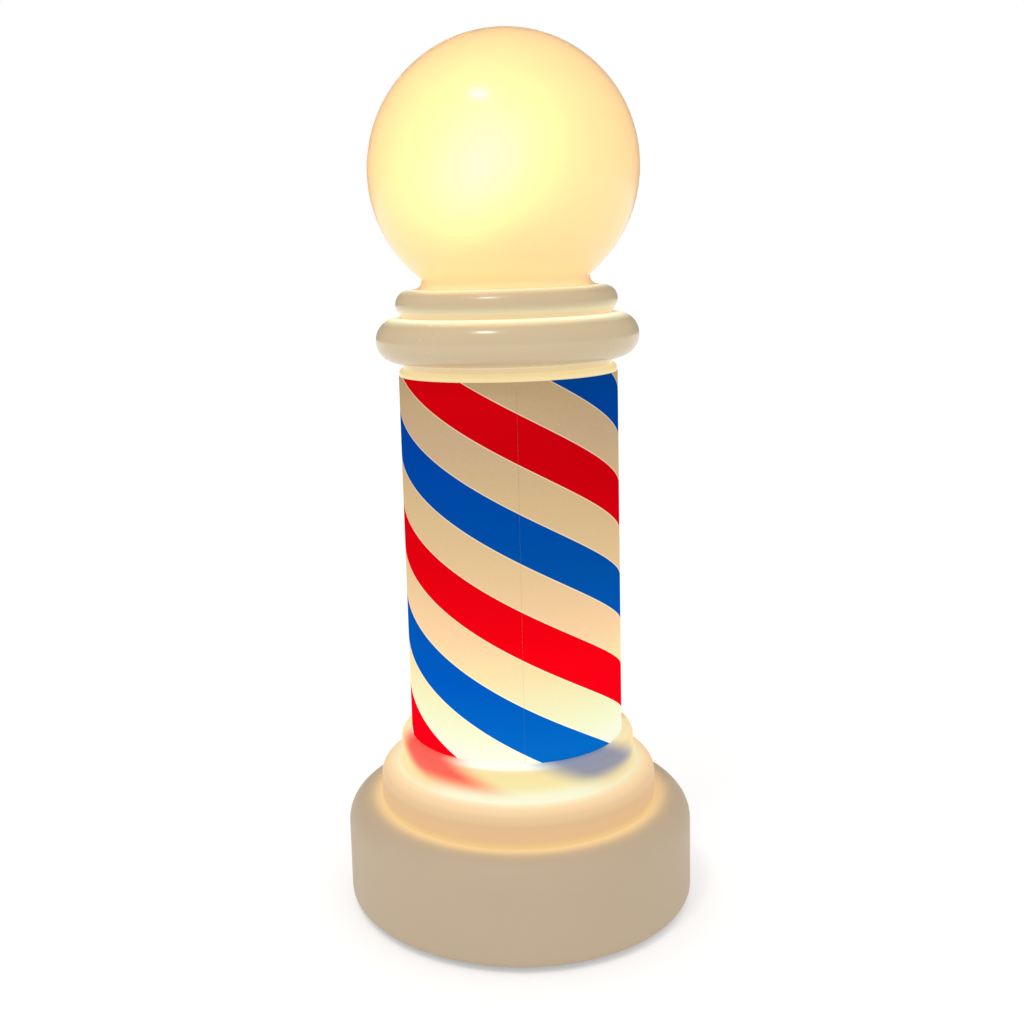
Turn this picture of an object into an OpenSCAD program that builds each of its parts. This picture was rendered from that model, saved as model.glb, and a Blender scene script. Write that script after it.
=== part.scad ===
/* [Base] */
// Height of the rubber feet below the base
foot_h = 2; // [1:0.5:6]
// Height of the drum
drum_h = 47; // [44:1:70]
// How far the drum stands out beyond the cushion step, all round
drum_out = 16.5; // [14:0.5:26]
// Rounding of the drum's top edge
drum_round = 11; // [4:0.5:12]
// Rounding of the drum's bottom edge
edge_round = 4; // [1:0.5:5]
// Height of the cushion step above the drum
step_h = 17; // [14:1:26]
// How far the cushion step stands out beyond the socket lip
step_out = 10; // [9:0.5:14]
// Rounding of the cushion step
step_round = 6.2; // [4:0.2:8]
// Height of the socket lip above the cushion step
socket_h = 16; // [12:1:26]
// Wall of the socket lip around the column
lip_wall = 5.1; // [4:0.1:7]
// Rounding of the socket lip's rim
lip_round = 4.3; // [2:0.1:5]
// Radius of the cove between socket lip and cushion step
cove_round = 4; // [2:0.5:6]
// Wall of the base moulding
shell_wall = 3; // [2.4:0.2:4]
// Thickness of the base plate
plate_t = 3; // [2.6:0.2:4]
// Diameter of each rubber foot
foot_d = 14; // [10:1:18]
// Thickness of the ballast ring
ballast_t = 9; // [5:0.5:11]
// Hole through the ballast ring
ballast_hole_d = 60; // [58:1:70]

/* [Column] */
// Outer diameter of the column tube
column_d = 100; // [84:1:120]
// Height of the column tube
column_h = 189; // [140:1:260]
// Wall of the column tube
column_wall = 3; // [2:0.5:4]
// Rounding of the column's shoulder
shoulder_round = 2.5; // [1:0.5:4]
// Thickness of the printed stripe film
film_t = 0.2; // [0.1:0.05:0.4]
// Width of the seam where the film's two ends meet, in degrees
film_seam_deg = 0.08; // [0.04:0.02:0.4]
// Compass place of that seam, measured from the front towards the right
film_seam_at = 4; // [0:1:180]

/* [Collar] */
// How far the collar's neck is set in from the column
neck_in = 2.2; // [1:0.1:4]
// Rounding radius of the large bead
big_bead_r = 10.1; // [7:0.1:12]
// Height of the large bead's middle above the column
big_bead_rise = 12.8; // [12:0.1:18]
// Rounding radius of the small bead
small_bead_r = 6.4; // [5:0.1:8]
// How far the small bead's middle is set in from the column
small_bead_in = 5.8; // [4:0.1:7]
// Height of the small bead's middle above the large bead's
bead_pitch = 16; // [14.5:0.1:22]
// Wall of the collar moulding
collar_wall = 3; // [2.4:0.2:3.6]

/* [Globe] */
// Diameter of the globe
globe_d = 122; // [104:1:160]
// Wall of the globe
globe_wall = 2.5; // [2:0.5:4]
// How far the globe's neck is set in from the column
globe_neck_in = 11.8; // [11:0.1:14]
// Radius of the flare where the neck meets the collar
flare_r = 4.1; // [2:0.1:5]
// Turn of the globe between locked and free, in degrees
globe_turn = 45; // [30:1:60]
// Width of each bayonet lug, in degrees
lug_deg = 18; // [12:1:24]

/* [Electrics] */
// Diameter of the lamp pipe
pipe_d = 10; // [8:0.5:12]
// Bore of the lamp pipe
pipe_bore_d = 7; // [5:0.5:7.5]
// Number of LEDs on the board that lights the column
led_count = 12; // [6:1:18]
// Diameter of the bulb inside the globe
bulb_d = 45; // [35:1:50]
// Diameter of the lamp holder
holder_d = 28; // [24:1:32]
// Height of the lamp holder
holder_h = 36; // [30:1:44]
// Diameter of the barrel inlet's centre pin
jack_pin_d = 2.1; // [1.6:0.1:2.5]
// Bore of the barrel inlet
jack_bore_d = 5.7; // [5.5:0.1:6]
// Height of inlet and switch above the base's bottom edge
panel_h = 21; // [19:0.5:24]
// Travel of the rocker, in degrees
rocker_travel = 24; // [16:1:28]

/* [Hidden] */
$fn = 96;
gap = 0.3;             // free space between parts that move past each other
fit = 0.2;             // clearance where one fixed part drops into another
eps = 0.01;            // overshoot of a cut past the face that it leaves

column_r = column_d / 2;
socket_r = column_r + film_t + fit;
lip_r = socket_r + lip_wall;
step_r = lip_r + step_out;
drum_r = step_r + drum_out;
ledge_r = column_r - column_wall - 3;

shell_z = foot_h;
drum_top_z = shell_z + drum_h;
ledge_z = drum_top_z + step_h;
column_top_z = ledge_z + column_h;
shoulder_open_r = column_r - 8;

neck_r = column_r - neck_in;
big_bead_z = column_top_z + big_bead_rise;
small_bead_z = big_bead_z + bead_pitch;
small_bead_mid = column_r - small_bead_in;
collar_top_z = small_bead_z + small_bead_r;
collar_in_r = neck_r - collar_wall;
flange_z = collar_top_z - collar_wall + 0.1;
spigot_drop = 6;       // how far the collar's spigot reaches into the column

globe_r = globe_d / 2;
globe_neck_r = column_r - globe_neck_in;
globe_foot_z = collar_top_z + gap;
globe_z = globe_foot_z + flare_r + sqrt(pow(globe_r, 2) - pow(globe_neck_r, 2)) + 0.3;
globe_spigot_r = globe_neck_r - 3.2;
globe_bore_r = globe_spigot_r - globe_wall;
bayonet_r = globe_spigot_r + 0.4;
lug_r = globe_spigot_r + 2.7;
lug_h = 3;
lug_play = 0.6;        // free turn either side of a lug, in degrees
lug_count = 3;
stop_deg = 4;
gasket_in_r = lug_r + 1.1;
gasket_out_r = gasket_in_r + 3;
gasket_seat = 1.2;     // depth of the gasket's groove

plate_z = shell_z + 0.5;
plate_top_z = plate_z + plate_t;
plate_r = drum_r - shell_wall - 0.4;
boss_r = 4;
boss_place = drum_r - shell_wall - 7;
screw_r = 1.5;
screw_head_r = 3;
screw_head_h = 1.8;
screw_reach = 12;      // how far a plate screw enters its boss
post_r = 2.6;          // posts for the driver board, and their screws
post_screw_r = 1;
post_head_r = 2.2;
foot_place = drum_r - 24;
foot_seat = 1;         // depth of the recess that holds a foot
ballast_r = boss_place - boss_r - 8;
post_h = 12;           // height of the driver board's posts
post_x = 17;
post_y = 14;
board_t = 1.6;
board_z = plate_top_z + post_h;

tray_t = 1.5;
tray_r = step_r - shell_wall + 4;
tray_z = drum_top_z - shell_wall - tray_t;
washer_t = 1.2;
nut_h = 4;
pipe_r = pipe_d / 2;
pipe_z = tray_z - washer_t - nut_h - 3.5;
tie_plate_r = bayonet_r - 0.4;
tie_plate_t = 2;
tie_plate_z = column_top_z + collar_wall;
tie_plate_top_z = tie_plate_z + tie_plate_t;
led_place = ledge_r * 0.72;

holder_z = tie_plate_top_z + washer_t + nut_h + 0.5;
pipe_grip = 8;         // how far the lamp pipe screws into the holder
pipe_top_z = holder_z + pipe_grip;
holder_top_z = holder_z + holder_h;
cap_r = 7;             // small screw cap of the bulb
cap_h = 20;
bulb_r = bulb_d / 2;
bulb_neck_h = 15;      // from the holder to the bottom of the bulb's sphere
bulb_z = holder_top_z + bulb_neck_h + bulb_r;
bulb_wall = 1.2;
bulb_neck_r = bulb_r * 0.8;
bulb_rim_z = bulb_z - sqrt(pow(bulb_r, 2) - pow(bulb_neck_r, 2));

panel_z = shell_z + panel_h;
panel_y = drum_r - 3.4;        // outer face of the flat at the back
panel_in_y = panel_y - 4.6;    // inner face of the pad behind it
panel_w = 42;
panel_tall = 24;
bezel_t = 1.5;
jack_x = -11;
jack_depth = 12.6;
jack_r = 4;
jack_pin_reach = 8.3;
jack_root_r = jack_pin_d / 2 + 0.5;   // thicker root of the pin
jack_free_y = panel_y + bezel_t - jack_pin_reach - 1.8;   // where the free length of the pin starts
switch_x = 10;
switch_w = 8.4;
switch_tall = 13.6;
switch_depth = 12.6;
rocker_w = 6.4;
rocker_slot_w = 7;
rocker_slot_tall = 12;
rocker_y = panel_y - 1.2;      // pivot of the rocker
rocker_pin_r = 1.2;
tab_place = 3.6;       // the switch's two tabs, above and below its middle
tab_reach = 6;
wire_r = 0.8;
block_h = 7;           // the driver's two terminal blocks
block_w = 6;
block_y = 15.5;
block_top_z = board_z + board_t + block_h;
lead_x = 4;            // the LED board's two wires, either side of the middle
led_hole_y = -11.5;
led_w = 3.5;
led_deep = 2.8;
led_h = 0.8;
led_board_in_r = 14;

// ---------- shapes used by several parts ----------

// Half outline of a turned block: radius r, height h, rounded at top and bottom
module turned(r, h, top = 0, bottom = 0) {
    translate([0, bottom]) square([r, h - top - bottom]);
    square([r - bottom, h - top]);
    square([r - top, h]);
    if (top > 0) translate([r - top, h - top]) circle(top);
    if (bottom > 0) translate([r - bottom, bottom]) circle(bottom);
}

// Keeps only the half plane that a rotate_extrude may turn
module right_half() {
    intersection() {
        children();
        translate([0, -1]) square([400, 800]);
    }
}

// Concave fillet of radius r in the corner that starts at the origin
module cove(r) {
    difference() {
        square(r);
        translate([r, r]) circle(r);
    }
}

module ring(r_out, r_in, h) {
    difference() {
        cylinder(r = r_out, h = h);
        translate([0, 0, -1]) cylinder(r = r_in, h = h + 2);
    }
}

module around(count, radius, first = 0) {
    for (i = [0:count - 1]) rotate(first + i * 360 / count) translate([radius, 0, 0]) children();
}

// A sector of a ring, centred on the angle at
module sector(r_in, r_out, h, wide, at) {
    rotate(at - wide / 2) rotate_extrude(angle = wide) translate([r_in, 0]) square([r_out - r_in, h]);
}

// A flat rectangle with round corners, standing in the XZ plane and reaching t along +Y
module upright(w, tall, t, corner) {
    rotate([90, 0, 0]) translate([0, 0, -t]) linear_extrude(t) {
        square([w - 2 * corner, tall], center = true);
        square([w, tall - 2 * corner], center = true);
        for (x = [-1, 1], z = [-1, 1])
            translate([x * (w / 2 - corner), z * (tall / 2 - corner)]) circle(corner, $fn = 32);
    }
}

// A cylinder that lies along +Y from the origin
module along_y(r, h) {
    rotate([-90, 0, 0]) cylinder(r = r, h = h);
}

// Points along a smooth curve with the end points a, d and the pulls b, c
function curve(a, b, c, d, steps = 10) = [for (i = [0:steps]) let (t = i / steps)
    pow(1 - t, 3) * a + 3 * t * pow(1 - t, 2) * b + 3 * t * t * (1 - t) * c + pow(t, 3) * d];
function unit(v) = v / norm(v);

// A wire through the points of path; side is a direction that the path never takes
module wire(path, side = [1, 0, 0], sides = 6) {
    last = len(path) - 1;
    points = [for (i = [0:last]) let (
        ahead = unit(path[min(i + 1, last)] - path[max(i - 1, 0)]),
        u = unit(side - (side * ahead) * ahead),
        v = cross(ahead, u))
        for (k = [0:sides - 1]) path[i] + wire_r * (cos(k * 360 / sides) * u + sin(k * 360 / sides) * v)];
    polyhedron(points, concat(
        [[for (k = [0:sides - 1]) k]],
        [[for (k = [sides - 1:-1:0]) last * sides + k]],
        [for (i = [0:last - 1], k = [0:sides - 1]) [
            i * sides + k, (i + 1) * sides + k,
            (i + 1) * sides + (k + 1) % sides, i * sides + (k + 1) % sides]]));
}

// ---------- base ----------

// Outside of the base: drum, cushion step, cove and socket lip
module base_outline() {
    turned(drum_r, drum_h, drum_round, edge_round);
    turned(step_r, drum_h + step_h, step_round);
    translate([0, drum_h]) turned(lip_r, step_h + socket_h, lip_round);
    translate([lip_r, drum_h + step_h]) cove(cove_round);
}

// Hollow of the base, open at the bottom, with a ledge that the column stands on
module base_hollow() {
    translate([0, -1]) turned(drum_r - shell_wall, drum_h - shell_wall + 1, drum_round - shell_wall);
    turned(step_r - shell_wall, drum_h + step_h - shell_wall, step_round - shell_wall);
    square([ledge_r, drum_h + step_h + 1]);
    translate([0, drum_h + step_h]) square([socket_r, socket_h + 1]);
}

module base_shell() {
    boss_z = plate_top_z;
    boss_h = drum_top_z - shell_wall / 2 - boss_z;
    color([0.85, 0.80, 0.70]) difference() {
        union() {
            translate([0, 0, shell_z]) rotate_extrude() right_half() difference() {
                base_outline();
                base_hollow();
            }
            // bosses that the plate screws bite into
            around(4, boss_place, 45) translate([0, 0, boss_z]) cylinder(r = boss_r, h = boss_h);
            // pad that carries inlet and switch
            intersection() {
                translate([-panel_w / 2, panel_in_y, plate_top_z + 1])
                    cube([panel_w, drum_r - panel_in_y, panel_z + panel_tall / 2 + 2 - plate_top_z - 1]);
                cylinder(r = drum_r - shell_wall / 2, h = drum_top_z - drum_round);
            }
        }
        around(4, boss_place, 45) translate([0, 0, boss_z - 1]) cylinder(r = screw_r, h = screw_reach + 1);
        // flat recess at the back
        translate([0, panel_y, panel_z]) upright(panel_w, panel_tall, 20, 3);
        translate([jack_x, panel_in_y - 1, panel_z]) along_y(jack_r + 0.1, 20);
        translate([switch_x, panel_in_y - 1, panel_z]) upright(switch_w + fit, switch_tall + fit, 20, 0.5);
    }
}

module base_plate() {
    color([0.16, 0.16, 0.17]) difference() {
        union() {
            translate([0, 0, plate_z]) cylinder(r = plate_r, h = plate_t);
            // rim that centres the ballast ring
            translate([0, 0, plate_top_z - eps]) ring(ballast_r + 2 + fit, ballast_r + fit, 3 + eps);
            for (x = [-1, 1], y = [-1, 1])
                translate([x * post_x, y * post_y, plate_top_z - eps]) cylinder(r = post_r, h = post_h + eps);
        }
        around(4, boss_place, 45) translate([0, 0, plate_z - 1]) cylinder(r = screw_r + 0.2, h = plate_t + 2);
        around(4, boss_place, 45) translate([0, 0, plate_z - 1])
            cylinder(r = screw_head_r + fit, h = screw_head_h + fit + 1);
        around(4, foot_place, 0) translate([0, 0, plate_z - 1]) cylinder(r = foot_d / 2, h = 1 + foot_seat);
        for (x = [-1, 1], y = [-1, 1])
            translate([x * post_x, y * post_y, board_z - 7]) cylinder(r = post_screw_r, h = 8);
    }
}

module plate_screws() {
    color([0.75, 0.76, 0.78]) around(4, boss_place, 45) difference() {
        union() {
            translate([0, 0, plate_z + fit]) cylinder(r = screw_head_r, h = screw_head_h);
            translate([0, 0, plate_z + screw_head_h])
                cylinder(r = screw_r, h = plate_t - screw_head_h + screw_reach - 1);
        }
        // cross recess
        for (turn = [0, 90]) rotate(turn)
            translate([0, 0, plate_z + fit]) cube([1.1 * screw_head_r, 0.7, screw_head_h], center = true);
    }
}

module rubber_feet() {
    rim = 1;
    color([0.12, 0.12, 0.12]) around(4, foot_place, 0) rotate_extrude() right_half()
        turned(foot_d / 2, plate_z + foot_seat, 0, rim);
}

module ballast_ring() {
    color([0.42, 0.43, 0.45]) translate([0, 0, plate_top_z]) ring(ballast_r, ballast_hole_d / 2, ballast_t);
}

// ---------- driver ----------

module driver_board() {
    color([0.10, 0.38, 0.20]) translate([0, 0, board_z]) difference() {
        translate([-post_x - 5, -post_y - 5, 0]) cube([2 * post_x + 10, 2 * post_y + 10, board_t]);
        for (x = [-1, 1], y = [-1, 1])
            translate([x * post_x, y * post_y, -1]) cylinder(r = post_screw_r + fit, h = board_t + 2);
    }
}

// Choke, two capacitors, driver chip and the two terminal blocks
module driver_parts() {
    color([0.20, 0.20, 0.22]) translate([0, 0, board_z + board_t]) {
        translate([-7, 4, 0]) cylinder(r = 6, h = 7);
        translate([7, 8, 0]) cylinder(r = 4, h = 10);
        translate([10, -3, 0]) cylinder(r = 2.5, h = 7);
        translate([-3, -9, 0]) cube([6, 5, 1.6]);
        translate([-6, block_y - block_w / 2, 0]) cube([10, block_w, block_h]);
        translate([-6, -block_y - block_w / 2, 0]) cube([12, block_w, block_h]);
    }
}

module board_screws() {
    color([0.75, 0.76, 0.78]) for (x = [-1, 1], y = [-1, 1]) translate([x * post_x, y * post_y, 0]) {
        translate([0, 0, board_z + board_t]) cylinder(r = post_head_r, h = 1.3);
        translate([0, 0, board_z - 5]) cylinder(r = post_screw_r, h = 5 + board_t + 0.5);
    }
}

// ---------- light for the column ----------

module led_tray() {
    color([0.86, 0.87, 0.88]) translate([0, 0, tray_z]) difference() {
        cylinder(r = tray_r, h = tray_t);
        translate([0, 0, -1]) cylinder(r = pipe_r + 0.1, h = tray_t + 2);
        for (x = [-1, 1]) translate([x * lead_x, led_hole_y, -1]) cylinder(r = 2, h = tray_t + 2);
    }
}

module led_board() {
    color([0.95, 0.95, 0.93]) translate([0, 0, tray_z + tray_t]) ring(ledge_r - 2, led_board_in_r, board_t);
}

module leds() {
    color([1, 0.85, 0.45]) around(led_count, led_place)
        translate([-led_w / 2, -led_deep / 2, tray_z + tray_t + board_t]) cube([led_w, led_deep, led_h]);
}

// ---------- lamp pipe ----------

module lamp_pipe() {
    color([0.80, 0.68, 0.36]) translate([0, 0, pipe_z]) ring(pipe_r, pipe_bore_d / 2, pipe_top_z - pipe_z);
}

module pipe_nut() {
    difference() {
        cylinder(r = pipe_r + 3.1, h = nut_h, $fn = 6);
        translate([0, 0, -1]) cylinder(r = pipe_r, h = nut_h + 2);
    }
}

module pipe_nuts() {
    color([0.78, 0.66, 0.34]) {
        translate([0, 0, tray_z - washer_t - nut_h]) pipe_nut();
        translate([0, 0, tie_plate_top_z + washer_t]) pipe_nut();
    }
}

module pipe_washers() {
    color([0.72, 0.73, 0.75]) for (z = [tray_z - washer_t, tie_plate_top_z])
        translate([0, 0, z]) ring(pipe_r + 3.6, pipe_r + 0.1, washer_t);
}

// ---------- column ----------

module column_tube() {
    color([0.97, 0.94, 0.86]) translate([0, 0, ledge_z]) rotate_extrude() right_half() difference() {
        turned(column_r, column_h, shoulder_round);
        translate([0, -1]) square([column_r - column_wall, column_h - column_wall + 1]);
        square([shoulder_open_r, column_h + 1]);
    }
}

module stripe_film() {
    film_z = ledge_z + 2;
    film_top_z = column_top_z - shoulder_round - 1;
    color([0.90, 0.20, 0.18]) translate([0, 0, film_z])
        rotate(film_seam_at - 90 + film_seam_deg / 2) rotate_extrude(angle = 360 - film_seam_deg)
        translate([column_r, 0]) square([film_t, film_top_z - film_z]);
}

// ---------- collar ----------

// Outside of the collar above the column: neck, large bead, small bead
module collar_outline() {
    square([neck_r, big_bead_rise + bead_pitch]);
    translate([column_r, big_bead_rise]) circle(big_bead_r);
    square([small_bead_mid, big_bead_rise + bead_pitch + small_bead_r]);
    translate([small_bead_mid, big_bead_rise + bead_pitch]) circle(small_bead_r);
}

module collar_hollow() {
    translate([0, collar_wall]) square([collar_in_r, flange_z - column_top_z - collar_wall]);
    translate([column_r, big_bead_rise]) circle(big_bead_r - collar_wall);
    translate([small_bead_mid, big_bead_rise + bead_pitch]) circle(small_bead_r - collar_wall);
    square([bayonet_r, collar_top_z]);
}

module collar() {
    lug_slot = lug_deg + 2 * lug_play;
    stop_z = flange_z - gap - lug_h;
    color([0.93, 0.89, 0.80]) {
        difference() {
            translate([0, 0, column_top_z]) rotate_extrude() right_half() union() {
                difference() {
                    collar_outline();
                    collar_hollow();
                }
                // floor that the tie plate bears on, and the spigot inside the column
                translate([tie_plate_r - 5, 0]) square([neck_r - tie_plate_r + 5 - 1, collar_wall]);
                translate([shoulder_open_r - fit - collar_wall, -spigot_drop])
                    square([collar_wall, spigot_drop + 1]);
            }
            for (i = [0:lug_count - 1])
                translate([0, 0, flange_z - 1])
                    sector(bayonet_r - 1, lug_r + 0.4, collar_wall + 2, lug_slot, globe_turn + i * 120);
            translate([0, 0, collar_top_z - gasket_seat]) ring(gasket_out_r, gasket_in_r, 5);
        }
        // stops for the bayonet lugs
        for (i = [0:lug_count - 1], at = [
            -lug_deg / 2 - lug_play - stop_deg / 2,
            globe_turn + lug_deg / 2 + lug_play + stop_deg / 2])
            translate([0, 0, stop_z])
                sector(lug_r - 1.5, collar_in_r + 1, flange_z - stop_z + 1, stop_deg, at + i * 120);
    }
}

module globe_gasket() {
    color([0.80, 0.80, 0.78]) translate([0, 0, collar_top_z - gasket_seat])
        ring(gasket_out_r, gasket_in_r, gasket_seat + 0.1);
}

// ---------- lamp holder and bulb ----------

module tie_plate() {
    color([0.86, 0.87, 0.88]) translate([0, 0, tie_plate_z]) ring(tie_plate_r, pipe_r + 0.1, tie_plate_t);
}

module lamp_holder() {
    web_z = pipe_grip + 2;
    color([0.93, 0.92, 0.89]) translate([0, 0, holder_z]) rotate_extrude() right_half() difference() {
        turned(holder_d / 2, holder_h, 1, 1.5);
        translate([0, -1]) square([pipe_r, pipe_grip + 1]);
        square([pipe_bore_d / 2, web_z]);
        translate([0, holder_h - cap_h - 1]) square([cap_r + fit, cap_h + 2]);
    }
}

module bulb_cap() {
    color([0.80, 0.80, 0.78]) translate([0, 0, holder_top_z - cap_h]) {
        cylinder(r = cap_r, h = cap_h);
        translate([0, 0, -1]) cylinder(r = 3, h = 1 + eps);   // foot contact
    }
}

module bulb_body() {
    color([0.96, 0.96, 0.94]) translate([0, 0, holder_top_z]) rotate_extrude()
        polygon([[0, 0], [cap_r + 2, 0], [bulb_neck_r, bulb_rim_z - holder_top_z - 2],
            [bulb_neck_r, bulb_rim_z - holder_top_z], [0, bulb_rim_z - holder_top_z]]);
}

module bulb_dome() {
    color([1, 0.96, 0.84]) rotate_extrude() right_half() intersection() {
        translate([0, bulb_z]) difference() {
            circle(bulb_r);
            circle(bulb_r - bulb_wall);
        }
        translate([0, bulb_rim_z]) square(3 * bulb_r);
    }
}

// ---------- globe ----------

module globe() {
    color([1, 0.95, 0.80]) {
        rotate_extrude() right_half() difference() {
            union() {
                translate([0, globe_z]) circle(globe_r);
                translate([0, globe_foot_z]) square([globe_neck_r, flare_r + 1]);
                translate([globe_neck_r, globe_foot_z]) cove(flare_r);
                translate([0, flange_z - gap - lug_h - 3])
                    square([globe_spigot_r, globe_foot_z - flange_z + gap + lug_h + 4]);
            }
            translate([0, globe_z]) circle(globe_r - globe_wall);
            translate([0, flange_z - 20]) square([globe_bore_r, globe_z - flange_z + 20]);
        }
        for (i = [0:lug_count - 1]) translate([0, 0, flange_z - gap - lug_h])
            sector(globe_spigot_r - 1, lug_r, lug_h, lug_deg, i * 120);
    }
}

// ---------- inlet and switch at the back ----------

module power_socket() {
    color([0.10, 0.10, 0.11]) translate([jack_x, 0, panel_z]) difference() {
        union() {
            translate([0, panel_y, 0]) along_y(jack_r + 1.6, bezel_t);
            translate([0, panel_y - jack_depth, 0]) along_y(jack_r, jack_depth + eps);
        }
        translate([0, jack_free_y, 0]) along_y(jack_bore_d / 2, 20);
        translate([0, panel_y - jack_depth - 1, 0]) along_y(jack_root_r, 20);
    }
}

module socket_pin() {
    root_y = panel_y - jack_depth;
    color([0.83, 0.72, 0.40]) translate([jack_x, 0, panel_z]) {
        translate([0, root_y - 3, 0]) along_y(jack_root_r, jack_free_y - root_y + 3);
        translate([0, jack_free_y, 0]) along_y(jack_pin_d / 2, jack_pin_reach);
    }
}

module socket_nut() {
    nut_t = 2.4;
    color([0.75, 0.76, 0.78]) translate([jack_x, panel_in_y - nut_t, panel_z]) rotate([-90, 0, 0])
        difference() {
            cylinder(r = jack_r + 2, h = nut_t, $fn = 6);
            translate([0, 0, -1]) cylinder(r = jack_r, h = nut_t + 2);
        }
}

module switch_housing() {
    color([0.09, 0.09, 0.10]) translate([switch_x, 0, panel_z]) difference() {
        union() {
            translate([0, panel_y, 0]) upright(switch_w + 2.2, switch_tall + 2.4, bezel_t, 1);
            translate([0, panel_y - switch_depth, 0]) upright(switch_w, switch_tall, switch_depth + eps, 0.5);
        }
        translate([-rocker_slot_w / 2, panel_y - 6.4, -rocker_slot_tall / 2])
            cube([rocker_slot_w, 20, rocker_slot_tall]);
        translate([-10, rocker_y, 0]) rotate([0, 90, 0]) cylinder(r = rocker_pin_r + 0.05, h = 20);
    }
}

// Rocker, resting with its upper end pressed in, which is on
module switch_rocker() {
    half = 5;
    color([0.70, 0.06, 0.05]) translate([switch_x, rocker_y, panel_z]) rotate([rocker_travel / 2, 0, 0]) {
        translate([-rocker_w / 2, 0, 0]) rotate([90, 0, 90]) linear_extrude(rocker_w)
            polygon([[3.4, -half], [2, 0], [3.4, half], [-0.8, half], [-3, 1.5], [-3, -1.5], [-0.8, -half]]);
        translate([-switch_w / 2 + 0.1, 0, 0]) rotate([0, 90, 0])
            cylinder(r = rocker_pin_r, h = switch_w - 0.2);
    }
}

module switch_terminals() {
    color([0.83, 0.72, 0.40]) for (z = [-tab_place, tab_place])
        translate([switch_x - 2.4, panel_y - switch_depth - tab_reach, panel_z + z - 0.4])
            cube([4.8, tab_reach, 0.8]);
}

// ---------- wires ----------

module supply_wires() {
    root_y = panel_y - jack_depth;
    tab_y = panel_y - switch_depth - tab_reach;
    up = [0, 0, 2];
    back = [0, -2, 0];
    color([0.70, 0.10, 0.08]) {
        // socket pin to the switch's lower terminal
        pin_end = [jack_x, root_y - 3, panel_z];
        lower_tab = [switch_x, tab_y, panel_z - tab_place];
        wire(concat([pin_end],
            curve(pin_end + back, pin_end + 5 * back, lower_tab + 5 * back, lower_tab + back),
            [lower_tab]), [0, 0, 1]);
        // switch's upper terminal and socket body to the driver
        for (lead = [
            [[switch_x, tab_y, panel_z + tab_place], [2, block_y, block_top_z]],
            [[jack_x - 3.2, root_y, panel_z], [-4, block_y, block_top_z]]])
            wire(concat([lead[0]], curve(lead[0] + back, lead[0] + 9 * back, lead[1] + 8 * up, lead[1] + up),
                [lead[1]]));
    }
}

module led_wires() {
    up = [0, 0, 2];
    board_top_z = tray_z + tray_t + board_t;
    color([0.15, 0.15, 0.16]) for (x = [-lead_x, lead_x]) {
        from = [x, -block_y, block_top_z];
        hole = [x, led_hole_y, tray_z];
        to = [x, led_hole_y - 5, board_top_z];
        wire(concat([from], curve(from + up, from + 3 * up, hole - 3 * up, hole),
            curve(hole + 2 * up, hole + 4 * up, to + 3 * up, to + 0.5 * up), [to]));
    }
}

module bulb_wires() {
    up = [0, 0, 2];
    color([0.15, 0.15, 0.16]) for (x = [-1.4, 1.4]) {
        from = [x, -block_y, block_top_z];
        inlet = [x, 0, pipe_z];
        wire(concat([from], curve(from + up, from + 4 * up, inlet - 4 * up, inlet),
            [inlet + up, [x, 0, holder_z + pipe_grip + 2]]));
    }
}

base_shell();
base_plate();
plate_screws();
rubber_feet();
ballast_ring();
driver_board();
driver_parts();
board_screws();
led_tray();
led_board();
leds();
lamp_pipe();
pipe_nuts();
pipe_washers();
column_tube();
stripe_film();
collar();
tie_plate();
lamp_holder();
bulb_cap();
bulb_body();
bulb_dome();
globe_gasket();
globe();
power_socket();
socket_pin();
socket_nut();
switch_housing();
switch_rocker();
switch_terminals();
supply_wires();
led_wires();
bulb_wires();
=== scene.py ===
import math
import bmesh
import bpy
from mathutils import Matrix, Vector


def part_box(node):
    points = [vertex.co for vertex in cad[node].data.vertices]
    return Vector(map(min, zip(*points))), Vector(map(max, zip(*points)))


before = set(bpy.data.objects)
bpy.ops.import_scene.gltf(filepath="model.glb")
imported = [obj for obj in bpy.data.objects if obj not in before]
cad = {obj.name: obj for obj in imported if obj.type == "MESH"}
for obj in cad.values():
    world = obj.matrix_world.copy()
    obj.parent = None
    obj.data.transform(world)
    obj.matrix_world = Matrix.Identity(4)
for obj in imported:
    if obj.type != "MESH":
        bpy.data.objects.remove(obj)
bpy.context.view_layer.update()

# ---- Base plate ----
# A disc moulded in black plastic with a fine grain, which closes the base from below. Posts for
# the driver and a rim round the ballast stand on it. Four screws hold it in the base shell.

mm = 0.001


def add(tree, kind, feeds=None, **settings):
    """Adds one node; feeds gives its sockets a value or another node's output."""
    node = tree.nodes.new("ShaderNode" + kind)
    for name, value in settings.items():
        setattr(node, name, value)
    for socket, value in (feeds or {}).items():
        if isinstance(value, bpy.types.NodeSocket):
            tree.links.new(value, node.inputs[socket])
        else:
            node.inputs[socket].default_value = value
    return node


def reckon(tree, operation, *values, clamp=False):
    """One sum on values or outputs."""
    return add(tree, "Math", dict(enumerate(values)), operation=operation, use_clamp=clamp).outputs[0]


def spread(tree, value, low, high, start, end, smooth=False):
    """Carries a value from the range low..high over to start..end, held at both ends."""
    kind = "SMOOTHSTEP" if smooth else "LINEAR"
    return add(tree, "MapRange", {0: value, 1: low, 2: high, 3: start, 4: end},
               interpolation_type=kind).outputs[0]


def new_finish(name, **plain):
    """A material with one Principled shader; plain gives the shader's own values."""
    finish = bpy.data.materials.new(name)
    finish.use_nodes = True
    tree = finish.node_tree
    tree.nodes.clear()
    skin = add(tree, "BsdfPrincipled", {socket.replace("_", " "): value for socket, value in plain.items()})
    add(tree, "OutputMaterial", {0: skin.outputs[0]})
    return finish, tree, skin


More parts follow.
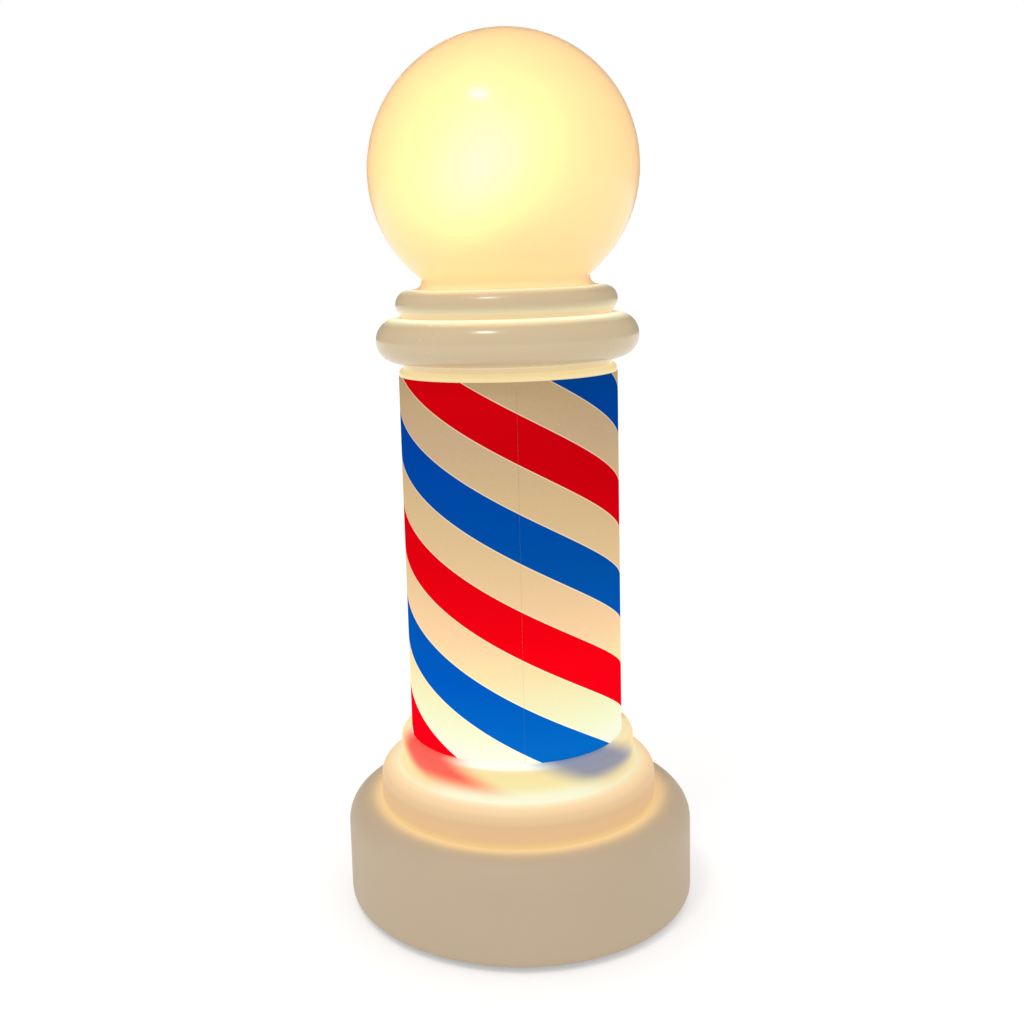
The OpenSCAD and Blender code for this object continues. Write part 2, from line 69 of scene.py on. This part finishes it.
def new_effect(name, inputs, outputs):
    """An empty node group; inputs are {name: value}, outputs are {name: socket kind}."""
    effect = bpy.data.node_groups.new(name, "ShaderNodeTree")
    for title, value in inputs.items():
        kind = "NodeSocketColor" if isinstance(value, tuple) else "NodeSocketFloat"
        effect.interface.new_socket(title, in_out="INPUT", socket_type=kind).default_value = value
    for title, kind in outputs.items():
        effect.interface.new_socket(title, in_out="OUTPUT", socket_type=kind)
    return effect, effect.nodes.new("NodeGroupInput"), effect.nodes.new("NodeGroupOutput")


def place_effect(tree, effect, **inputs):
    """Puts a node group into a finish, with its own values."""
    node = tree.nodes.new("ShaderNodeGroup")
    node.node_tree = effect
    for title, value in inputs.items():
        socket = node.inputs[title.replace("_", " ")]
        if isinstance(value, bpy.types.NodeSocket):
            tree.links.new(value, socket)
        else:
            socket.default_value = value
    return node


def cover(tree, effect, skin):
    """Joins an effect's colour, roughness and normal to the shader."""
    for title, socket in (("Colour", "Base Color"), ("Roughness", "Roughness"), ("Normal", "Normal")):
        tree.links.new(effect.outputs[title], skin.inputs[socket])


def wear(finish, *names):
    """Puts a finish on CAD nodes."""
    for name in names:
        for slot in cad[name].material_slots:
            slot.material = finish


# Moulded skin: pebbled grain of a given size, with broad uneven patches in tone and gloss, and
# small duller specks of dust.
patch_scale, speck_scale, speck_size, speck_dullness = 38.0, 420.0, 0.12, 0.12
moulded_skin, given, made = new_effect(
    "moulded skin",
    {"Colour": (0.5, 0.5, 0.5, 1), "Grain mm": 0.5, "Mottle": 0.05, "Roughness": 0.5, "Depth mm": 0.02},
    {"Colour": "NodeSocketColor", "Roughness": "NodeSocketFloat", "Normal": "NodeSocketVector"})
place = add(moulded_skin, "TexCoord").outputs["Object"]
fineness = reckon(moulded_skin, "DIVIDE", 1 / mm, given.outputs["Grain mm"])
grain = add(moulded_skin, "TexNoise", {"Vector": place, "Scale": fineness, "Detail": 3.0}).outputs[0]
patches = add(moulded_skin, "TexNoise", {"Vector": place, "Scale": patch_scale, "Detail": 4.0}).outputs[0]
specks = add(moulded_skin, "TexVoronoi", {"Vector": place, "Scale": speck_scale}).outputs[0]
dust = spread(moulded_skin, specks, 0.0, speck_size, 1.0, 0.0)
uneven = reckon(moulded_skin, "ADD", reckon(moulded_skin, "MULTIPLY", patches, 1.2),
                reckon(moulded_skin, "MULTIPLY", grain, 0.8))
low = reckon(moulded_skin, "SUBTRACT", 1.0, given.outputs["Mottle"])
high = reckon(moulded_skin, "ADD", 1.0, given.outputs["Mottle"])
tone = add(moulded_skin, "MapRange", {0: uneven, 1: 0.6, 2: 1.4, 3: low, 4: high}).outputs[0]
shade = add(moulded_skin, "VectorMath", {0: given.outputs["Colour"], "Scale": tone},
            operation="SCALE").outputs[0]
moulded_skin.links.new(shade, made.inputs["Colour"])
gloss = reckon(moulded_skin, "ADD", given.outputs["Roughness"],
               spread(moulded_skin, patches, 0.3, 0.7, -0.05, 0.05))
dulled = reckon(moulded_skin, "MULTIPLY", dust, speck_dullness)
gloss = reckon(moulded_skin, "ADD", gloss, dulled, clamp=True)
moulded_skin.links.new(gloss, made.inputs["Roughness"])
depth = reckon(moulded_skin, "MULTIPLY", given.outputs["Depth mm"], mm)
bump = add(moulded_skin, "Bump", {"Strength": 0.6, "Distance": depth, "Height": grain})
moulded_skin.links.new(bump.outputs[0], made.inputs["Normal"])


def moulded(name, colour, grain_mm=0.5, mottle=0.05, roughness=0.5, depth_mm=0.02, **plain):
    """A finish of moulded plastic, rubber or paint."""
    finish, tree, skin = new_finish(name, **plain)
    effect = place_effect(tree, moulded_skin, Colour=(*colour, 1), Grain_mm=grain_mm, Mottle=mottle,
                          Roughness=roughness, Depth_mm=depth_mm)
    cover(tree, effect, skin)
    return finish, tree, skin


plate_black = moulded("black plate plastic", (0.035, 0.035, 0.038), grain_mm=0.7, mottle=0.2,
                      roughness=0.62, depth_mm=0.12)[0]
wear(plate_black, "base_plate")

# ---- Plate screws ----
# Zinc plated steel screws with a cross recess and fine level marks. Four of them go up through
# the plate into the bosses of the base shell.


def blend_colours(tree, share, first, second, way="MIX"):
    """Mixes two colours by share and gives the mixed colour's output."""
    mix = add(tree, "Mix", {0: share, 6: first, 7: second}, data_type="RGBA", blend_type=way)
    return mix.outputs[2]


# Worked metal: fine level tool marks with cloudy tarnish over them.
tarnish_scale, mark_scale, tarnish_dullness = 160.0, (400.0, 400.0, 5200.0), 0.12
worked_metal, given, made = new_effect(
    "worked metal",
    {"Colour": (0.6, 0.6, 0.6, 1), "Tarnish": (0.4, 0.38, 0.33, 1), "Roughness": 0.3, "Marks": 0.3},
    {"Colour": "NodeSocketColor", "Roughness": "NodeSocketFloat", "Normal": "NodeSocketVector"})
place = add(worked_metal, "TexCoord").outputs["Object"]
cloud = add(worked_metal, "TexNoise", {"Vector": place, "Scale": tarnish_scale, "Detail": 4.0}).outputs[0]
drawn = add(worked_metal, "Mapping", {"Vector": place, "Scale": mark_scale}).outputs[0]
lines = add(worked_metal, "TexNoise", {"Vector": drawn, "Scale": 1.0, "Detail": 2.0}).outputs[0]
stain = spread(worked_metal, cloud, 0.45, 0.75, 0.0, 0.7)
shade = blend_colours(worked_metal, stain, given.outputs["Colour"], given.outputs["Tarnish"])
worked_metal.links.new(shade, made.inputs["Colour"])
gloss = reckon(worked_metal, "MULTIPLY_ADD", lines, given.outputs["Marks"], given.outputs["Roughness"])
dulled = reckon(worked_metal, "MULTIPLY", stain, tarnish_dullness)
gloss = reckon(worked_metal, "ADD", gloss, dulled, clamp=True)
worked_metal.links.new(gloss, made.inputs["Roughness"])
bump = add(worked_metal, "Bump", {"Strength": 0.25, "Distance": 0.02 * mm, "Height": lines})
worked_metal.links.new(bump.outputs[0], made.inputs["Normal"])


def metal(name, colour, tarnish, roughness=0.25, marks=0.2):
    """A finish of bare or plated metal."""
    finish, tree, skin = new_finish(name, Metallic=1.0)
    effect = place_effect(tree, worked_metal, Colour=(*colour, 1), Tarnish=(*tarnish, 1),
                          Roughness=roughness, Marks=marks)
    cover(tree, effect, skin)
    return finish


zinc = metal("zinc plate", (0.62, 0.63, 0.65), (0.45, 0.45, 0.42))
wear(zinc, "plate_screws")

# ---- Rubber feet ----
# Four soft black pads of moulded rubber with a dull bloom, glued into shallow recesses in the
# underside of the plate.

foot_rubber = moulded("foot rubber", (0.025, 0.025, 0.026), grain_mm=0.35, mottle=0.3, roughness=0.82,
                      depth_mm=0.05)[0]
wear(foot_rubber, "rubber_feet")

# ---- Ballast ring ----
# A heavy ring of raw, oiled steel. It lies on the plate inside the plate's rim, round the
# driver, and keeps the tall lamp steady.

ballast_steel = metal("oiled steel", (0.23, 0.22, 0.22), (0.12, 0.09, 0.07), roughness=0.4, marks=0.3)
wear(ballast_steel, "ballast_ring")

# ---- Driver ----
# A green circuit board with its moulded parts and two terminal blocks. Four small zinc plated
# screws hold it on the posts of the base plate.

board_green = moulded("green solder mask", (0.02, 0.16, 0.06), grain_mm=1.8, mottle=0.25, roughness=0.35,
                      depth_mm=0.03)[0]
part_black = moulded("moulded case", (0.03, 0.03, 0.035), grain_mm=0.3, mottle=0.15, roughness=0.5,
                     depth_mm=0.02)[0]
wear(board_green, "driver_board")
wear(part_black, "driver_parts")
wear(zinc, "board_screws")

# ---- LED tray, board and LEDs ----
# A flat tray of bright aluminium sheet under the top of the drum carries a white ring-shaped
# board. The LEDs on it shine up the column and light the base's socket from inside.

bright_metal = metal("pressed aluminium", (0.83, 0.84, 0.85), (0.6, 0.6, 0.6), roughness=0.3, marks=0.15)
wear(bright_metal, "led_tray")
board_white = moulded("white solder mask", (0.86, 0.86, 0.83), grain_mm=1.5, mottle=0.04, roughness=0.4,
                      depth_mm=0.02)[0]
wear(board_white, "led_board")


def shades(tree, factor, stops):
    """Colours that follow a factor from 0 to 1; stops are (place, colour) in order."""
    ramp = add(tree, "ValToRGB", {0: factor})
    bands = ramp.color_ramp.elements
    for place, colour in stops[1:-1]:
        bands.new(place)
    for band, (place, colour) in zip(bands, stops):
        band.position = place
        band.color = (*colour, 1)
    return ramp.outputs[0]


phosphor_scale = 3500.0
phosphor, tree, skin = new_finish("lit phosphor", Base_Color=(0.9, 0.62, 0.12, 1), Emission_Strength=6.0)
place = add(tree, "TexCoord").outputs["Object"]
grains = add(tree, "TexNoise", {"Vector": place, "Scale": phosphor_scale, "Detail": 2.0}).outputs[0]
glow = shades(tree, grains, [(0.3, (1.0, 0.66, 0.30)), (0.7, (1.0, 0.78, 0.44))])
tree.links.new(glow, skin.inputs["Emission Color"])
tree.links.new(spread(tree, grains, 0.3, 0.7, 0.25, 0.4), skin.inputs["Roughness"])
wear(phosphor, "leds")

# ---- Base shell ----
# One moulding of warm white translucent plastic: a drum, a cushion step and a socket with a
# rounded lip that takes the column. The light inside shows from the crease of the drum up.


def position(tree):
    """The x, y and z of the point on the piece."""
    return add(tree, "SeparateXYZ", {0: add(tree, "TexCoord").outputs["Object"]}).outputs


# Crease glow: light that leaks from a ring-shaped crease and fades with distance from it.
crease_glow, given, made = new_effect(
    "crease glow", {"Radius mm": 50.0, "Height mm": 50.0, "Reach mm": 5.0}, {"Glow": "NodeSocketFloat"})
x, y, z = position(crease_glow)
across = add(crease_glow, "CombineXYZ", {0: x, 1: y})
radius = add(crease_glow, "VectorMath", {0: across.outputs[0]}, operation="LENGTH").outputs["Value"]
off_radius = reckon(crease_glow, "MULTIPLY_ADD", radius, 1 / mm,
                    reckon(crease_glow, "MULTIPLY", given.outputs["Radius mm"], -1.0))
off_height = reckon(crease_glow, "MULTIPLY_ADD", z, 1 / mm,
                    reckon(crease_glow, "MULTIPLY", given.outputs["Height mm"], -1.0))
square = reckon(crease_glow, "ADD", reckon(crease_glow, "MULTIPLY", off_radius, off_radius),
                reckon(crease_glow, "MULTIPLY", off_height, off_height))
reach = reckon(crease_glow, "MULTIPLY", given.outputs["Reach mm"], given.outputs["Reach mm"])
share = reckon(crease_glow, "DIVIDE", square, reach)
fade = reckon(crease_glow, "EXPONENT", reckon(crease_glow, "MULTIPLY", share, -1.0))
crease_glow.links.new(fade, made.inputs["Glow"])

# Pole stripes: two red and two blue ribbons in turn, wound side by side up the column. Widths
# and period are measured upright, and the lowest red edge in front is below the film's foot.
film_low, film_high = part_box("stripe_film")
stripe_period = 86.8 * mm
red_width, blue_width = 21.9 * mm, 21.8 * mm
red_drop = 23.5 * mm
red_start = film_low[2] - red_drop
bare_width = (stripe_period - red_width - blue_width) / 2
line_share = 0.3

pole_stripes, given, made = new_effect(
    "pole stripes", {"Softness mm": 0.15, "Halo mm": 0.6},
    {"Red": "NodeSocketFloat", "Blue": "NodeSocketFloat", "Halo": "NodeSocketFloat"})
x, y, z = position(pole_stripes)
turned = reckon(pole_stripes, "ARCTAN2", x, reckon(pole_stripes, "MULTIPLY", y, -1.0))
along = reckon(pole_stripes, "MULTIPLY_ADD", turned, stripe_period / math.pi, z)
along = reckon(pole_stripes, "SUBTRACT", along, red_start)


def ribbon(middle, width):
    """Masks of one ribbon and of the bare line round it."""
    softness, halo = given.outputs["Softness mm"], given.outputs["Halo mm"]
    off = reckon(pole_stripes, "SUBTRACT", along, middle)
    off = reckon(pole_stripes, "PINGPONG", off, stripe_period / 2)
    inside = reckon(pole_stripes, "MULTIPLY_ADD", off, -1 / mm, width / 2 / mm)
    ink = reckon(pole_stripes, "DIVIDE", inside, softness)
    ink = reckon(pole_stripes, "MULTIPLY_ADD", ink, 0.5, 0.5, clamp=True)
    ink = spread(pole_stripes, ink, 0.0, 1.0, 0.0, 1.0, smooth=True)
    line = reckon(pole_stripes, "DIVIDE", reckon(pole_stripes, "ADD", inside, halo), halo, clamp=True)
    line = reckon(pole_stripes, "GREATER_THAN", line, line_share)
    return ink, reckon(pole_stripes, "SUBTRACT", line, ink, clamp=True)


red_ink, red_line = ribbon(red_width / 2, red_width)
blue_ink, blue_line = ribbon(red_width + bare_width + blue_width / 2, blue_width)
pole_stripes.links.new(red_ink, made.inputs["Red"])
pole_stripes.links.new(blue_ink, made.inputs["Blue"])
pole_stripes.links.new(reckon(pole_stripes, "MAXIMUM", red_line, blue_line), made.inputs["Halo"])

step_rise, lip_rise = 17 * mm, 16 * mm
lip_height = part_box("base_shell")[1][2]
crease_height = lip_height - lip_rise - step_rise
ledge_height = crease_height + step_rise
crease_radius_mm, crease_reach_mm = 65.5, 5.4
dark = (0, 0, 0, 1)

# Painted light: the stripes show through the lip's upper part, blurred, in its colour and its glow.
blur_foot, blur_top, blur_share = lip_height - 15 * mm, lip_height - 6 * mm, 0.92
drum_colour, step_colour = (0.483, 0.38, 0.262, 1), (0.45, 0.34, 0.20, 1)

shell_plastic, tree, skin = new_finish("lit shell plastic", Specular_IOR_Level=0.25, Emission_Strength=1.0)
blur = place_effect(tree, pole_stripes, Softness_mm=5.5, Halo_mm=0.1)
x, y, z = position(tree)
depth = spread(tree, z, blur_foot, blur_top, 0.0, blur_share, smooth=True)
red_showing_through = reckon(tree, "MULTIPLY", blur.outputs["Red"], depth)
blue_showing_through = reckon(tree, "MULTIPLY", blur.outputs["Blue"], depth)
above = spread(tree, z, crease_height, crease_height + 1 * mm, 0.0, 1.0)
body = blend_colours(tree, above, drum_colour, step_colour)
# Painted light: the stripes showing through tint the lip's colour here.
body = blend_colours(tree, red_showing_through, body, (0.44, 0.04, 0.03, 1))
body = blend_colours(tree, blue_showing_through, body, (0.15, 0.16, 0.22, 1))
effect = place_effect(tree, moulded_skin, Colour=body, Grain_mm=0.6, Mottle=0.02, Roughness=0.5,
                      Depth_mm=0.02)
cover(tree, effect, skin)
climb = spread(tree, z, crease_height + 0.2 * mm, lip_height, 0.0, 1.0)
lit = shades(tree, climb, [
    (0.0, (0.0, 0.0, 0.0)), (0.012, (0.35, 0.21, 0.09)), (0.10, (0.36, 0.19, 0.08)),
    (0.30, (0.30, 0.16, 0.07)), (0.42, (0.36, 0.22, 0.11)), (0.50, (0.50, 0.35, 0.20)),
    (0.53, (0.48, 0.58, 0.47)), (0.60, (0.48, 0.58, 0.46)), (0.74, (0.46, 0.46, 0.19)),
    (0.90, (0.46, 0.42, 0.16)), (0.94, (0.47, 0.44, 0.20)), (0.975, (0.56, 0.68, 0.68))])
crease = place_effect(tree, crease_glow, Radius_mm=crease_radius_mm, Height_mm=crease_height / mm,
                      Reach_mm=crease_reach_mm)
seep = blend_colours(tree, crease.outputs[0], dark, (0.44, 0.29, 0.10, 1))
lit = blend_colours(tree, 1.0, lit, seep, "LIGHTEN")

# The lip glows a little warmer at the sides and the back than in front.
above_step = spread(tree, z, ledge_height - 1 * mm, ledge_height + 2 * mm, 0.0, 0.8)
off_front = spread(tree, y, -52 * mm, -34 * mm, 0.0, 1.0, smooth=True)
lit = blend_colours(tree, reckon(tree, "MULTIPLY", above_step, off_front), lit, (0.50, 0.40, 0.15, 1))
lit = blend_colours(tree, red_showing_through, lit, (0.50, 0.02, 0.02, 1))
lit = blend_colours(tree, blue_showing_through, lit, (0.07, 0.09, 0.16, 1))
tree.links.new(lit, skin.inputs["Emission Color"])
wear(shell_plastic, "base_shell")

# ---- Column tube ----
# An opal tube that stands on the ledge inside the socket. Its shoulder shows above the film.

opal_column, tree, skin = moulded("lit opal tube", (0.45, 0.34, 0.18), grain_mm=0.8, mottle=0.02,
                                  roughness=0.35, depth_mm=0.01, Specular_IOR_Level=0.3,
                                  Emission_Strength=1.0)
climb = spread(tree, position(tree)[2], film_low[2], film_high[2], 0.0, 1.0)
glow = shades(tree, climb, [
    (0.0, (0.6, 0.6, 0.5)), (0.01, (0.05, 0.04, 0.03)), (0.985, (0.05, 0.04, 0.03)),
    (0.99, (0.46, 0.39, 0.21)), (1.0, (0.50, 0.42, 0.22))])
tree.links.new(glow, skin.inputs["Emission Color"])
wear(opal_column, "column_tube")

# ---- Striped film ----
# A printed vinyl film, wrapped round the tube once, with its ends meeting a little right of
# the front. A bare line is left beside each ink edge. The light fades from foot to top.

film_height = film_high[2] - film_low[2]
print_scale, bare_line_share = 900.0, 0.8
bare_film, red_print, blue_print, bare_edge = (
    (0.40, 0.30, 0.165, 1), (0.46, 0.0005, 0.004, 1), (0.0003, 0.045, 0.25, 1), (0.70, 0.60, 0.42, 1))


def film_place(height):
    """The share of the film's height for a height in mm."""
    return (height * mm - film_low[2]) / film_height


striped_film, tree, skin = new_finish("striped film", Specular_IOR_Level=0.0, Emission_Strength=1.0)
stripes = place_effect(tree, pole_stripes)
climb = spread(tree, position(tree)[2], film_low[2], film_high[2], 0.0, 1.0)
bare_glow = shades(tree, climb, [
    (film_place(83), (0.56, 0.68, 0.66)), (film_place(93), (0.54, 0.67, 0.50)),
    (film_place(105), (0.52, 0.60, 0.38)), (film_place(121), (0.55, 0.48, 0.25)),
    (film_place(139), (0.56, 0.34, 0.19)), (film_place(157), (0.42, 0.27, 0.15)),
    (film_place(175), (0.32, 0.21, 0.11)), (film_place(201), (0.22, 0.14, 0.07)),
    (film_place(223), (0.13, 0.07, 0.06)), (film_place(250), (0.07, 0.035, 0.015))])
red_glow = shades(tree, climb, [
    (film_place(83), (0.52, 0.0, 0.006)), (film_place(126), (0.50, 0.0, 0.003)),
    (film_place(152), (0.34, 0.0, 0.001)), (film_place(205), (0.11, 0.0, 0.0)),
    (film_place(225), (0.08, 0.0, 0.0)), (film_place(250), (0.13, 0.0, 0.0))])
blue_glow = shades(tree, climb, [
    (film_place(83), (0.001, 0.11, 0.34)), (film_place(117), (0.0, 0.058, 0.27)),
    (film_place(166), (0.0, 0.034, 0.11)), (film_place(223), (0.0, 0.004, 0.075)),
    (film_place(250), (0.0, 0.004, 0.01))])
ink = blend_colours(tree, stripes.outputs["Red"], bare_film, red_print)
ink = blend_colours(tree, stripes.outputs["Blue"], ink, blue_print)
bare_line = reckon(tree, "MULTIPLY", stripes.outputs["Halo"], bare_line_share)
ink = blend_colours(tree, bare_line, ink, bare_edge)
glow = blend_colours(tree, stripes.outputs["Red"], bare_glow, red_glow)
glow = blend_colours(tree, stripes.outputs["Blue"], glow, blue_glow)
place = add(tree, "TexCoord").outputs["Object"]
print_grain = add(tree, "TexNoise", {"Vector": place, "Scale": print_scale, "Detail": 3.0}).outputs[0]
worn = add(tree, "VectorMath", {0: ink, "Scale": spread(tree, print_grain, 0.3, 0.7, 0.97, 1.03)},
           operation="SCALE").outputs[0]
tree.links.new(worn, skin.inputs["Base Color"])
tree.links.new(glow, skin.inputs["Emission Color"])
inked = reckon(tree, "MAXIMUM", stripes.outputs["Red"], stripes.outputs["Blue"])
polish = reckon(tree, "MULTIPLY_ADD", print_grain, 0.3, inked)
tree.links.new(spread(tree, polish, 0.0, 1.3, 0.42, 0.34), skin.inputs["Roughness"])
ridge = reckon(tree, "MULTIPLY_ADD", print_grain, 0.2, inked)
bump = add(tree, "Bump", {"Strength": 0.3, "Distance": 0.02 * mm, "Height": ridge})
tree.links.new(bump.outputs[0], skin.inputs["Normal"])
wear(striped_film, "stripe_film")

# ---- Lamp pipe ----
# A threaded brass pipe through the whole lamp. Two brass nuts on zinc plated washers clamp tray,
# base shell, tube and collar together, the upper nut on an aluminium tie plate in the collar.
# The pipe carries the wires up to the lamp holder.

brass = metal("brass", (0.80, 0.60, 0.26), (0.45, 0.30, 0.12), roughness=0.28, marks=0.2)
wear(brass, "lamp_pipe", "pipe_nuts")
wear(zinc, "pipe_washers")
wear(bright_metal, "tie_plate")

# ---- Collar ----
# A glossy opal moulding with two rounded rings that caps the column. Light shows most in the
# grooves, which lie nearest to it. The rings stand further out and stay darker.

collar_plastic, tree, skin = moulded("lit collar plastic", (0.50, 0.39, 0.23), grain_mm=0.6, mottle=0.02,
                                     roughness=0.24, depth_mm=0.01, Specular_IOR_Level=0.5,
                                     Emission_Strength=1.0)
# Each groove's radius, height and reach in mm, and the colour of its light: under the large
# ring, between the rings, and round the globe's foot.
grooves = [(46.0, 255.0, 4.5, (0.40, 0.33, 0.19, 1)), (47.5, 258.5, 3.8, (0.40, 0.33, 0.19, 1)),
           (48.2, 278.2, 2.3, (0.46, 0.36, 0.22, 1)), (52.0, 277.6, 3.8, (0.70, 0.72, 0.50, 1)),
           (43.0, 290.6, 4.2, (0.58, 0.64, 0.50, 1))]
glow = (0.08, 0.07, 0.055, 1)
for radius_mm, height_mm, reach_mm, colour in grooves:
    groove = place_effect(tree, crease_glow, Radius_mm=radius_mm, Height_mm=height_mm, Reach_mm=reach_mm)
    groove = blend_colours(tree, groove.outputs[0], dark, colour)
    glow = blend_colours(tree, 1.0, groove, glow, "LIGHTEN")
tree.links.new(glow, skin.inputs["Emission Color"])
wear(collar_plastic, "collar")

# ---- Lamp holder ----
# A holder moulded in white plastic and screwed on the upper end of the pipe. The bulb screws
# into it from above.

holder_white = moulded("white holder plastic", (0.88, 0.87, 0.83), grain_mm=0.5, mottle=0.03,
                       roughness=0.4, depth_mm=0.02)[0]
wear(holder_white, "lamp_holder")

# ---- Bulb ----
# A golf-ball LED bulb: a nickel plated screw cap, a body of white plastic like the holder's, and
# an opal dome that is the brightest thing in the lamp and shines most at its upper left.

nickel = metal("nickel plate", (0.72, 0.70, 0.66), (0.5, 0.47, 0.42), roughness=0.22, marks=0.15)
wear(nickel, "bulb_cap")
wear(holder_white, "bulb_body")

dome_opal, tree, skin = new_finish("lit bulb dome", Base_Color=(1.0, 0.95, 0.85, 1), Roughness=0.4,
                                   Emission_Strength=50.0)
dome_low, dome_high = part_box("bulb_dome")
dome_lean = -1.3
x, y, z = position(tree)
lean = reckon(tree, "MULTIPLY_ADD", x, dome_lean, z)
climb = spread(tree, lean, dome_low[2], dome_high[2], 0.0, 1.0)
glow = shades(tree, climb, [(0.0, (0.06, 0.045, 0.022)), (0.5, (0.38, 0.285, 0.155)),
                            (1.0, (1.0, 0.76, 0.42))])
tree.links.new(glow, skin.inputs["Emission Color"])
wear(dome_opal, "bulb_dome")

# ---- Globe gasket ----
# A soft ring of translucent silicone under the globe's foot, pressed into a groove in the top
# of the collar.

# Painted light: the silicone's glow stands in for the lamp's light shining through it.
silicone = moulded("silicone", (0.6, 0.55, 0.42), grain_mm=0.6, mottle=0.05, roughness=0.55, depth_mm=0.02,
                   Emission_Color=(0.3, 0.22, 0.11, 1), Emission_Strength=1.0)[0]
wear(silicone, "globe_gasket")

# ---- Globe ----
# A blown opal globe with a satin surface and a flared foot; three lugs under it twist into the
# collar. Its wall scatters the bulb's light, so the middle is bright and the rim is amber.

globe_low, globe_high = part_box("globe")
satin_opal, tree, skin = moulded("lit satin opal", (0.60, 0.45, 0.23), grain_mm=0.35, mottle=0.01,
                                 roughness=0.73, depth_mm=0.02, IOR=1.5, Transmission_Weight=0.55,
                                 Coat_Weight=1.0, Coat_Roughness=0.22, Coat_IOR=1.35, Emission_Strength=1.0)
climb = spread(tree, position(tree)[2], globe_low[2], globe_high[2], 0.0, 1.0)
glow = shades(tree, climb, [
    (0.0, (0.46, 0.40, 0.26)), (0.06, (0.46, 0.40, 0.26)), (0.10, (0.42, 0.30, 0.165)),
    (0.2, (0.40, 0.27, 0.15)), (0.5, (0.43, 0.32, 0.18)), (1.0, (0.40, 0.30, 0.17))])
tree.links.new(glow, skin.inputs["Emission Color"])
wear(satin_opal, "globe")

# ---- Inlet and switch ----
# A black barrel inlet with a brass pin, held by a zinc plated nut, and a small rocker switch with
# brass terminals. Both are fitted in the flat panel at the back of the base.

wear(part_black, "power_socket", "switch_housing")
wear(brass, "socket_pin", "switch_terminals")
wear(zinc, "socket_nut")
rocker_red = moulded("red rocker plastic", (0.50, 0.012, 0.012), grain_mm=0.4, mottle=0.05,
                     roughness=0.3, depth_mm=0.01)[0]
wear(rocker_red, "switch_rocker")

# ---- Wires ----
# Copper wires with a soft PVC cover: red ones join inlet, switch and driver, and black ones go
# from the driver to the LEDs and through the pipe to the bulb.

wire_red = moulded("red wire cover", (0.45, 0.02, 0.015), grain_mm=0.8, mottle=0.08, roughness=0.4)[0]
wire_black = moulded("black wire cover", (0.03, 0.03, 0.034), grain_mm=0.8, mottle=0.1, roughness=0.4)[0]
wear(wire_red, "supply_wires")
wear(wire_black, "led_wires", "bulb_wires")

# ---- Floor, lights and camera ----
# A plain white floor under an even white sky, with one small soft lamp high on the left that
# puts the highlights on the globe and the rings. Reflections see a dimmer sky than the rest.

floor_reach = 6.0
sweep = bmesh.new()
bmesh.ops.create_grid(sweep, x_segments=1, y_segments=1, size=floor_reach)
floor_mesh = bpy.data.meshes.new("floor")
sweep.to_mesh(floor_mesh)
sweep.free()
floor = bpy.data.objects.new("floor", floor_mesh)
bpy.context.collection.objects.link(floor)
floor_paint = moulded("white floor", (0.66, 0.66, 0.66), grain_mm=2.0, mottle=0.003, roughness=0.9,
                      depth_mm=0.0, Specular_IOR_Level=0.0, Emission_Color=(1, 1, 1, 1),
                      Emission_Strength=0.37)[0]
floor_mesh.materials.append(floor_paint)

sky = bpy.data.worlds.new("studio")
sky.use_nodes = True
sky_tree = sky.node_tree
bright_sky, dim_sky = (1.0, 1.0, 1.0, 1), (0.15, 0.15, 0.15, 1)
mirrored = add(sky_tree, "LightPath").outputs["Is Glossy Ray"]
sky_colour = blend_colours(sky_tree, mirrored, bright_sky, dim_sky)
sky_tree.links.new(sky_colour, sky_tree.nodes["Background"].inputs[0])
bpy.context.scene.world = sky

globe_middle = Vector((0, 0, (globe_low[2] + globe_high[2]) / 2))
lamp_way = Vector((-0.25, -0.50, 0.83)).normalized()
lamp_distance = 0.9
lamp = bpy.data.lights.new("left lamp", "AREA")
lamp.shape = "ELLIPSE"
lamp.size, lamp.size_y = 0.20, 0.09
lamp.energy = 2.0
lamp_object = bpy.data.objects.new("left lamp", lamp)
lamp_object.location = globe_middle + lamp_way * lamp_distance
lamp_object.rotation_euler = (-lamp_way).to_track_quat("-Z", "Y").to_euler()
bpy.context.collection.objects.link(lamp_object)

eye = bpy.data.cameras.new("camera")
eye.sensor_width = 36.0
eye.lens = 44.0
eye.shift_x, eye.shift_y = 0.0703, -0.0508
eye.clip_start = 0.01
eye_place = (0, -0.5767, 0.3035)
pan, pitch, roll = math.radians(3.234), math.radians(90 - 9.085), math.radians(-1.936)
aim = Matrix.Rotation(pan, 4, "Z") @ Matrix.Rotation(pitch, 4, "X") @ Matrix.Rotation(roll, 4, "Z")
eye_object = bpy.data.objects.new("camera", eye)
eye_object.matrix_world = Matrix.Translation(eye_place) @ aim
bpy.context.collection.objects.link(eye_object)
bpy.context.scene.camera = eye_object
bpy.context.scene.view_settings.view_transform = "Standard"
